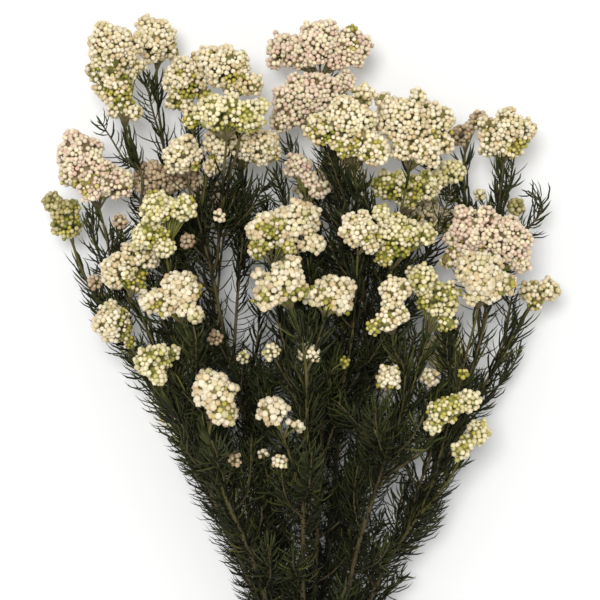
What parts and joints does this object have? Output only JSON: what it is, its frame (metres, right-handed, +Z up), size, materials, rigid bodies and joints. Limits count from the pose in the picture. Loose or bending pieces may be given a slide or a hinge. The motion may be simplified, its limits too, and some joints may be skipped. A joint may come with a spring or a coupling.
{
  "type": "preserved rice flower bunch",
  "caption": "Bunch of preserved rice flower laid on its side: leafy woody stems held by an elastic band, with domed heads of round cream buds.",
  "frame": {"origin": "under the middle of the bunch's box, on the surface that it lies on", "axes": "+Z up, away from the surface; +Y along the stems towards the flower heads; +X to the right seen from above with the heads at the top"},
  "size_m": [0.3166, 0.5742, 0.1568],
  "materials": {
    "leafy_stem": "preserved dark green needle leaves on olive brown twigs, matt to slightly waxy",
    "buds_cream": "dry papery cream buds, matt",
    "buds_pink": "dry papery cream buds with a pink blush, matt",
    "buds_yellow": "cream buds with yellow green young buds and stalks, matt",
    "buds_olive": "olive green young buds, matt",
    "buds_brown": "browned dry buds, matt",
    "band": "plain natural rubber elastic, matt"
  },
  "bodies": {
    "root": {"leafy_stem_01": "leafy_stem", "leafy_stem_02": "leafy_stem", "leafy_stem_03": "leafy_stem", "leafy_stem_04": "leafy_stem", "leafy_stem_05": "leafy_stem", "leafy_stem_06": "leafy_stem", "leafy_stem_07": "leafy_stem", "leafy_stem_08": "leafy_stem", "leafy_stem_09": "leafy_stem", "leafy_stem_10": "leafy_stem", "leafy_stem_11": "leafy_stem", "leafy_stem_12": "leafy_stem", "flower_head_A1": "buds_cream", "flower_head_A2": "buds_cream", "flower_head_B1": "buds_cream", "flower_head_B2": "buds_cream", "flower_head_B3": "buds_yellow", "flower_head_C": "buds_pink", "flower_head_D": "buds_olive", "flower_head_E": "buds_brown", "flower_head_F": "buds_cream", "flower_head_G": "buds_cream", "flower_head_H": "buds_yellow", "flower_head_J": "buds_cream", "flower_head_K": "buds_cream", "flower_head_L": "buds_cream", "flower_head_M": "buds_yellow", "flower_head_N": "buds_cream", "flower_head_O": "buds_cream", "flower_head_P": "buds_cream", "flower_head_Q1": "buds_cream", "flower_head_Q2": "buds_cream", "flower_head_R": "buds_pink", "flower_head_S": "buds_pink", "flower_head_T1": "buds_cream", "flower_head_T2": "buds_cream", "flower_head_U": "buds_yellow", "flower_head_V": "buds_cream", "flower_head_VB": "buds_brown", "flower_head_VO": "buds_olive", "flower_head_W": "buds_cream", "flower_head_X": "buds_yellow", "flower_head_Y1": "buds_pink", "flower_head_Y2": "buds_cream", "flower_head_Z1": "buds_cream", "flower_head_Z2": "buds_yellow", "flower_head_MID": "buds_pink", "flower_head_AA1": "buds_cream", "flower_head_AA2": "buds_cream", "flower_head_AB": "buds_cream", "flower_head_AC": "buds_yellow", "flower_head_AD": "buds_yellow", "flower_head_U1": "buds_cream", "flower_head_U2": "buds_cream", "flower_head_U3": "buds_cream", "flower_head_U4": "buds_yellow", "flower_head_U5": "buds_pink", "flower_head_U6": "buds_cream", "flower_head_U7": "buds_cream", "tie_band": "band"}
  },
  "joints": []
}
